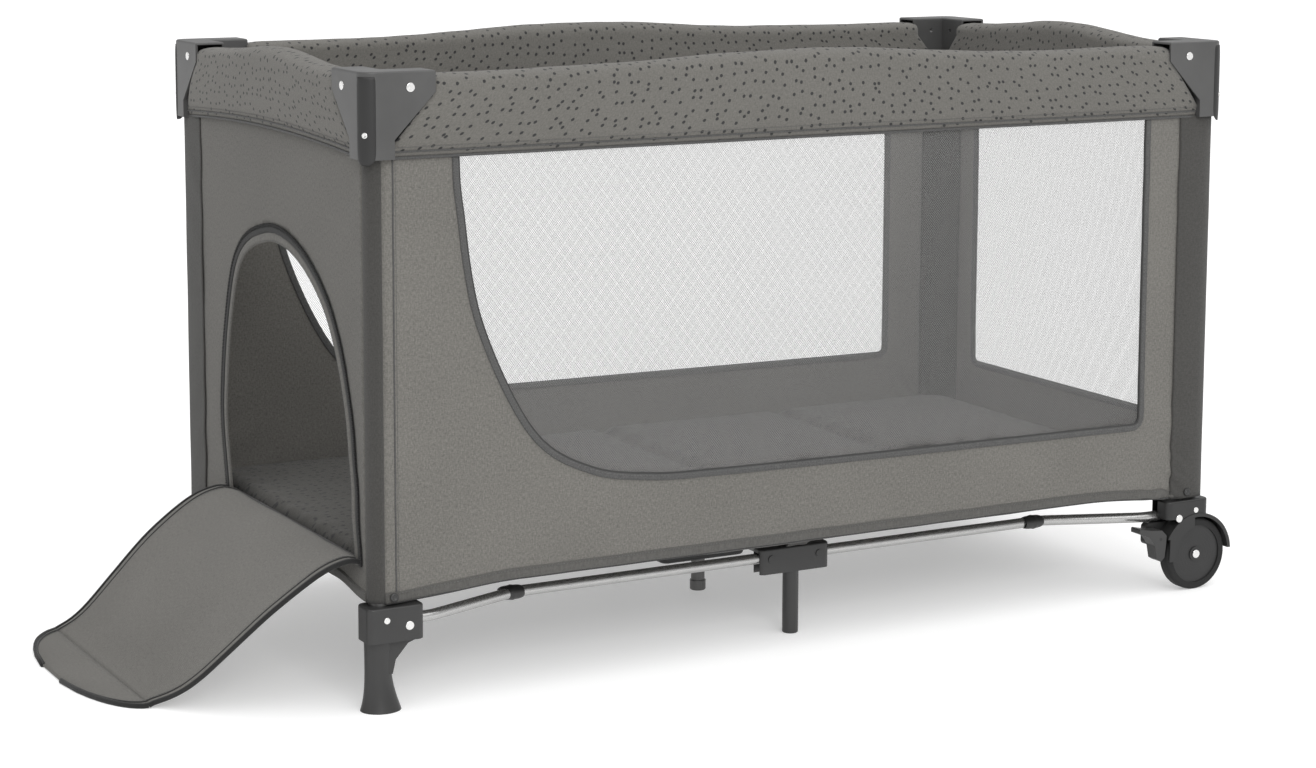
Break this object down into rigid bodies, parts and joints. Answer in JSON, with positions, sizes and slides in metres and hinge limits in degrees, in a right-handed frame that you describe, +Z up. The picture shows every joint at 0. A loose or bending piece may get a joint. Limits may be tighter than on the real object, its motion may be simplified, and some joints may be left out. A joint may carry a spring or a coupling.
{
  "type": "folding travel cot playpen",
  "caption": "Folding travel cot and playpen with mesh walls, a zipped crawl-through door with a ramp flap, castors at one end and a lift-out mattress.",
  "frame": {"origin": "on the ground under the middle of the centre leg", "axes": "+X along the length towards the castor end, +Y to the rear, +Z up"},
  "size_m": [1.572, 0.6574, 0.769],
  "materials": {
    "post_sleeve_fabric": "woven polyester sleeve",
    "grey_plastic": "fine matte mould texture",
    "rivet_steel": "zinc plated",
    "rail_tube": "powder coat",
    "graphite_tube": "satin graphite powder coat",
    "black_plastic": "satin",
    "button_plastic": "satin",
    "wheel_rubber": "soft rubber on a plastic disc",
    "wall_fabric": "melange woven polyester",
    "dotted_fabric": "melange weave with small printed dots"
  },
  "bodies": {
    "centre_hub": {"centre_hub": "black_plastic", "centre_leg": "black_plastic", "hub_axle": "rivet_steel"},
    "front_link": {"front_cross_link": "graphite_tube"},
    "rear_link": {"rear_cross_link": "graphite_tube"},
    "front_hub": {"front_side_hub": "black_plastic"},
    "rear_hub": {"rear_side_hub": "black_plastic"},
    "front_left_arm": {"front_left_base_arm": "graphite_tube", "left_floor": "wall_fabric"},
    "front_left_corner": {"front_left_post": "post_sleeve_fabric", "front_left_bracket": "grey_plastic", "front_left_rivets": "rivet_steel", "front_left_foot": "grey_plastic", "front_wall": "wall_fabric", "front_rail_cover": "dotted_fabric", "left_wall": "wall_fabric", "left_rail_cover": "dotted_fabric"},
    "front_left_long": {"front_left_long_rail": "rail_tube"},
    "front_left_short": {"front_left_short_rail": "rail_tube"},
    "front_right_arm": {"front_right_base_arm": "graphite_tube", "right_floor": "wall_fabric"},
    "front_right_corner": {"front_right_post": "post_sleeve_fabric", "front_right_bracket": "grey_plastic", "front_right_rivets": "rivet_steel", "front_right_castor_housing": "grey_plastic", "right_wall": "wall_fabric", "right_rail_cover": "dotted_fabric"},
    "front_right_long": {"front_right_long_rail": "rail_tube"},
    "front_right_short": {"front_right_short_rail": "rail_tube"},
    "rear_left_arm": {"rear_left_base_arm": "graphite_tube"},
    "rear_left_corner": {"rear_left_post": "post_sleeve_fabric", "rear_left_bracket": "grey_plastic", "rear_left_rivets": "rivet_steel", "rear_left_foot": "grey_plastic", "rear_wall": "wall_fabric", "rear_rail_cover": "dotted_fabric"},
    "rear_left_long": {"rear_left_long_rail": "rail_tube"},
    "rear_left_short": {"rear_left_short_rail": "rail_tube"},
    "rear_right_arm": {"rear_right_base_arm": "graphite_tube"},
    "rear_right_corner": {"rear_right_post": "post_sleeve_fabric", "rear_right_bracket": "grey_plastic", "rear_right_rivets": "rivet_steel", "rear_right_castor_housing": "grey_plastic"},
    "rear_right_long": {"rear_right_long_rail": "rail_tube"},
    "rear_right_short": {"rear_right_short_rail": "rail_tube"},
    "front_latch": {"front_latch": "black_plastic"},
    "rear_latch": {"rear_latch": "black_plastic"},
    "left_latch": {"left_latch": "black_plastic"},
    "right_latch": {"right_latch": "black_plastic"},
    "front_latch_button": {"front_latch_button": "button_plastic"},
    "rear_latch_button": {"rear_latch_button": "button_plastic"},
    "left_latch_button": {"left_latch_button": "button_plastic"},
    "right_latch_button": {"right_latch_button": "button_plastic"},
    "front_wheel": {"front_wheel": "wheel_rubber"},
    "front_brake": {"front_brake_lever": "black_plastic"},
    "rear_wheel": {"rear_wheel": "wheel_rubber"},
    "rear_brake": {"rear_brake_lever": "black_plastic"},
    "mattress": {"mattress": "dotted_fabric"},
    "door_flap": {"door_flap": "wall_fabric"},
    "door_flap_tip": {"door_flap_tip": "wall_fabric"}
  },
  "joints": [
    {"name": "fold", "type": "hinge", "parent": "centre_hub", "child": "front_link", "pos_m": [0, 0, 0.104], "axis": [-1, 0, 0], "range_deg": [0, 86], "deforming": ["front_wall", "front_rail_cover", "left_wall", "left_rail_cover", "rear_wall", "rear_rail_cover", "right_wall", "right_rail_cover", "left_floor", "right_floor", "mattress", "door_flap", "door_flap_tip"]},
    {"name": "fold_rear_link", "type": "hinge", "parent": "centre_hub", "child": "rear_link", "pos_m": [0, 0, 0.104], "axis": [1, 0, 0], "range_deg": [0, 86]},
    {"name": "front_hub_pivot", "type": "hinge", "parent": "front_link", "child": "front_hub", "pos_m": [0, -0.226, 0.104], "axis": [1, 0, 0], "range_deg": [0, 86]},
    {"name": "rear_hub_pivot", "type": "hinge", "parent": "rear_link", "child": "rear_hub", "pos_m": [0, 0.226, 0.104], "axis": [-1, 0, 0], "range_deg": [0, 86]},
    {"name": "front_left_arm_pivot", "type": "hinge", "parent": "front_hub", "child": "front_left_arm", "pos_m": [-0.036, -0.245, 0.104], "axis": [0, -1, 0], "range_deg": [0, 86]},
    {"name": "front_left_foot_pivot", "type": "hinge", "parent": "front_left_arm", "child": "front_left_corner", "pos_m": [-0.576, -0.296, 0.104], "axis": [0, 1, 0], "range_deg": [0, 86]},
    {"name": "front_left_long_rail_pivot", "type": "hinge", "parent": "front_left_corner", "child": "front_left_long", "pos_m": [-0.57, -0.3015, 0.741], "axis": [0, 1, 0], "range_deg": [0, 86]},
    {"name": "front_left_short_rail_pivot", "type": "hinge", "parent": "front_left_corner", "child": "front_left_short", "pos_m": [-0.605, -0.2665, 0.741], "axis": [-1, 0, 0], "range_deg": [0, 86]},
    {"name": "front_right_arm_pivot", "type": "hinge", "parent": "front_hub", "child": "front_right_arm", "pos_m": [0.036, -0.245, 0.104], "axis": [0, 1, 0], "range_deg": [0, 86]},
    {"name": "front_right_foot_pivot", "type": "hinge", "parent": "front_right_arm", "child": "front_right_corner", "pos_m": [0.576, -0.296, 0.104], "axis": [0, -1, 0], "range_deg": [0, 86]},
    {"name": "front_right_long_rail_pivot", "type": "hinge", "parent": "front_right_corner", "child": "front_right_long", "pos_m": [0.57, -0.3015, 0.741], "axis": [0, -1, 0], "range_deg": [0, 86]},
    {"name": "front_right_short_rail_pivot", "type": "hinge", "parent": "front_right_corner", "child": "front_right_short", "pos_m": [0.605, -0.2665, 0.741], "axis": [-1, 0, 0], "range_deg": [0, 86]},
    {"name": "rear_left_arm_pivot", "type": "hinge", "parent": "rear_hub", "child": "rear_left_arm", "pos_m": [-0.036, 0.245, 0.104], "axis": [0, -1, 0], "range_deg": [0, 86]},
    {"name": "rear_left_foot_pivot", "type": "hinge", "parent": "rear_left_arm", "child": "rear_left_corner", "pos_m": [-0.576, 0.296, 0.104], "axis": [0, 1, 0], "range_deg": [0, 86]},
    {"name": "rear_left_long_rail_pivot", "type": "hinge", "parent": "rear_left_corner", "child": "rear_left_long", "pos_m": [-0.57, 0.3015, 0.741], "axis": [0, 1, 0], "range_deg": [0, 86]},
    {"name": "rear_left_short_rail_pivot", "type": "hinge", "parent": "rear_left_corner", "child": "rear_left_short", "pos_m": [-0.605, 0.2665, 0.741], "axis": [1, 0, 0], "range_deg": [0, 86]},
    {"name": "rear_right_arm_pivot", "type": "hinge", "parent": "rear_hub", "child": "rear_right_arm", "pos_m": [0.036, 0.245, 0.104], "axis": [0, 1, 0], "range_deg": [0, 86]},
    {"name": "rear_right_foot_pivot", "type": "hinge", "parent": "rear_right_arm", "child": "rear_right_corner", "pos_m": [0.576, 0.296, 0.104], "axis": [0, -1, 0], "range_deg": [0, 86]},
    {"name": "rear_right_long_rail_pivot", "type": "hinge", "parent": "rear_right_corner", "child": "rear_right_long", "pos_m": [0.57, 0.3015, 0.741], "axis": [0, -1, 0], "range_deg": [0, 86]},
    {"name": "rear_right_short_rail_pivot", "type": "hinge", "parent": "rear_right_corner", "child": "rear_right_short", "pos_m": [0.605, 0.2665, 0.741], "axis": [1, 0, 0], "range_deg": [0, 86]},
    {"name": "front_latch_pivot", "type": "hinge", "parent": "front_left_long", "child": "front_latch", "pos_m": [-0.03, -0.3015, 0.741], "axis": [0, -1, 0], "range_deg": [0, 86]},
    {"name": "rear_latch_pivot", "type": "hinge", "parent": "rear_left_long", "child": "rear_latch", "pos_m": [-0.03, 0.3015, 0.741], "axis": [0, -1, 0], "range_deg": [0, 86]},
    {"name": "left_latch_pivot", "type": "hinge", "parent": "front_left_short", "child": "left_latch", "pos_m": [-0.605, -0.0405, 0.741], "axis": [1, 0, 0], "range_deg": [0, 86]},
    {"name": "right_latch_pivot", "type": "hinge", "parent": "front_right_short", "child": "right_latch", "pos_m": [0.605, -0.0405, 0.741], "axis": [1, 0, 0], "range_deg": [0, 86]},
    {"name": "front_latch_press", "type": "slide", "parent": "front_latch", "child": "front_latch_button", "axis": [0, 0, 1], "range_m": [0, 0.005], "stiffness_N_per_m": 400, "springref_m": -0.003},
    {"name": "rear_latch_press", "type": "slide", "parent": "rear_latch", "child": "rear_latch_button", "axis": [0, 0, 1], "range_m": [0, 0.005], "stiffness_N_per_m": 400, "springref_m": -0.003},
    {"name": "left_latch_press", "type": "slide", "parent": "left_latch", "child": "left_latch_button", "axis": [0, 0, 1], "range_m": [0, 0.005], "stiffness_N_per_m": 400, "springref_m": -0.003},
    {"name": "right_latch_press", "type": "slide", "parent": "right_latch", "child": "right_latch_button", "axis": [0, 0, 1], "range_m": [0, 0.005], "stiffness_N_per_m": 400, "springref_m": -0.003},
    {"name": "front_wheel_spin", "type": "hinge", "parent": "front_right_corner", "child": "front_wheel", "pos_m": [0.609, -0.316, 0.05], "axis": [0, 1, 0], "continuous": true},
    {"name": "front_brake", "type": "hinge", "parent": "front_right_corner", "child": "front_brake", "pos_m": [0.546, -0.316, 0.078], "axis": [0, -1, 0], "range_deg": [0, 10]},
    {"name": "rear_wheel_spin", "type": "hinge", "parent": "rear_right_corner", "child": "rear_wheel", "pos_m": [0.609, 0.316, 0.05], "axis": [0, 1, 0], "continuous": true},
    {"name": "rear_brake", "type": "hinge", "parent": "rear_right_corner", "child": "rear_brake", "pos_m": [0.546, 0.316, 0.078], "axis": [0, -1, 0], "range_deg": [0, 10]},
    {"name": "mattress_lift", "type": "slide", "parent": "centre_hub", "child": "mattress", "axis": [0, 0, 1], "range_m": [0, 0.37]},
    {"name": "door_flap_sill", "type": "hinge", "parent": "front_left_corner", "child": "door_flap", "pos_m": [-0.622, 0, 0.172], "axis": [0, 1, 0], "range_deg": [0, 126.38]},
    {"name": "door_flap_bend", "type": "hinge", "parent": "door_flap", "child": "door_flap_tip", "pos_m": [-0.85, 0, 0.004], "axis": [0, -1, 0], "range_deg": [0, 36.48]}
  ],
  "couplings": [
    {"joint": "fold_rear_link", "follows": "fold", "ratio": 1},
    {"joint": "front_hub_pivot", "follows": "fold", "ratio": 1},
    {"joint": "rear_hub_pivot", "follows": "fold", "ratio": 1},
    {"joint": "front_left_arm_pivot", "follows": "fold", "ratio": 1},
    {"joint": "front_left_foot_pivot", "follows": "fold", "ratio": 1},
    {"joint": "front_left_long_rail_pivot", "follows": "fold", "ratio": 1},
    {"joint": "front_left_short_rail_pivot", "follows": "fold", "ratio": 1},
    {"joint": "front_right_arm_pivot", "follows": "fold", "ratio": 1},
    {"joint": "front_right_foot_pivot", "follows": "fold", "ratio": 1},
    {"joint": "front_right_long_rail_pivot", "follows": "fold", "ratio": 1},
    {"joint": "front_right_short_rail_pivot", "follows": "fold", "ratio": 1},
    {"joint": "rear_left_arm_pivot", "follows": "fold", "ratio": 1},
    {"joint": "rear_left_foot_pivot", "follows": "fold", "ratio": 1},
    {"joint": "rear_left_long_rail_pivot", "follows": "fold", "ratio": 1},
    {"joint": "rear_left_short_rail_pivot", "follows": "fold", "ratio": 1},
    {"joint": "rear_right_arm_pivot", "follows": "fold", "ratio": 1},
    {"joint": "rear_right_foot_pivot", "follows": "fold", "ratio": 1},
    {"joint": "rear_right_long_rail_pivot", "follows": "fold", "ratio": 1},
    {"joint": "rear_right_short_rail_pivot", "follows": "fold", "ratio": 1},
    {"joint": "front_latch_pivot", "follows": "fold", "ratio": 1},
    {"joint": "rear_latch_pivot", "follows": "fold", "ratio": 1},
    {"joint": "left_latch_pivot", "follows": "fold", "ratio": 1},
    {"joint": "right_latch_pivot", "follows": "fold", "ratio": 1},
    {"joint": "mattress_lift", "follows": "fold", "m_per_rad": 0.23984},
    {"joint": "door_flap_bend", "follows": "door_flap_sill", "ratio": 0.2879}
  ]
}
